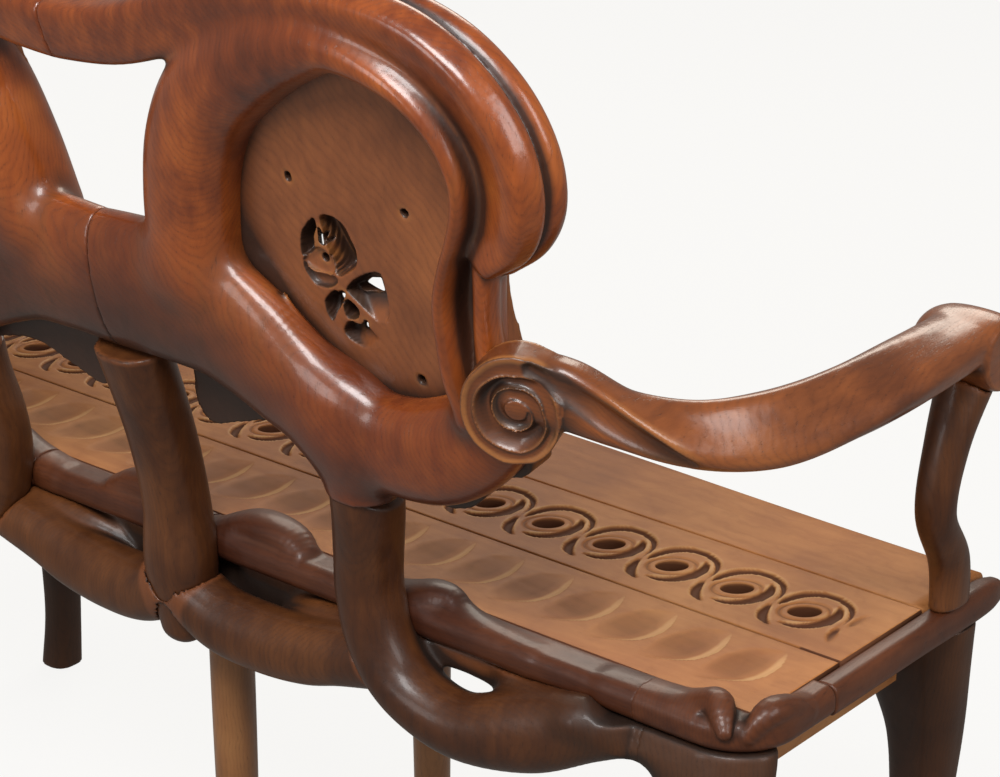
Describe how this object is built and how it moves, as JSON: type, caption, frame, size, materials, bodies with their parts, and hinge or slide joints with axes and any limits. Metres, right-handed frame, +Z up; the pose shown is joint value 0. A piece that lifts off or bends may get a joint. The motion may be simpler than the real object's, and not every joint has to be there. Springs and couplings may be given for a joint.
{
  "type": "bench",
  "caption": "Carved oak settee with a reclined back of pierced shields in heavy moulded rings, scrolled arms, and a board seat pierced by a running scroll.",
  "frame": {"origin": "middle of the overall footprint, on the floor", "axes": "+Z up, the front of the seat faces -Y, and +X is the left of a person who sits on the bench"},
  "size_m": [1.206, 0.5224, 0.9689],
  "materials": {
    "oak_dark": "stained oak, satin varnish",
    "oak_board": "stained oak, worn satin varnish",
    "oak_leg": "lighter stained oak, satin varnish",
    "dowel": "plain beech"
  },
  "bodies": {
    "root": {"rail_rear_centre": "oak_dark", "post_centre": "oak_dark", "rail_rear_side_left": "oak_dark", "rail_rear_side_right": "oak_dark", "corner_block_left": "oak_dark", "corner_block_right": "oak_dark", "rail_end_left": "oak_dark", "rail_end_right": "oak_dark", "leg_rear_left": "oak_dark", "leg_rear_right": "oak_dark", "leg_front_left": "oak_dark", "leg_front_right": "oak_dark", "knee_left": "oak_dark", "knee_right": "oak_dark", "back_ring_left": "oak_dark", "back_ring_right": "oak_dark", "back_crest_left": "oak_dark", "back_crest_right": "oak_dark", "arch_left": "oak_dark", "arch_right": "oak_dark", "arch_centre_left": "oak_dark", "arch_centre_right": "oak_dark", "arm_left": "oak_dark", "arm_right": "oak_dark", "arm_support_left": "oak_dark", "arm_support_right": "oak_dark", "seat_board_rear": "oak_board", "seat_board_middle": "oak_board", "seat_board_front": "oak_board", "apron_front_left": "oak_board", "apron_front_right": "oak_board", "apron_end_left": "oak_board", "apron_end_right": "oak_board", "batten_inner_left": "oak_board", "batten_inner_right": "oak_board", "batten_outer_left": "oak_board", "batten_outer_right": "oak_board", "back_board_left": "oak_board", "back_board_right": "oak_board", "leg_rear_centre": "oak_leg", "leg_front_centre": "oak_leg", "dowel_support_left": "dowel", "dowel_support_right": "dowel", "dowel_arch_left": "dowel", "dowel_arch_right": "dowel"}
  },
  "joints": []
}
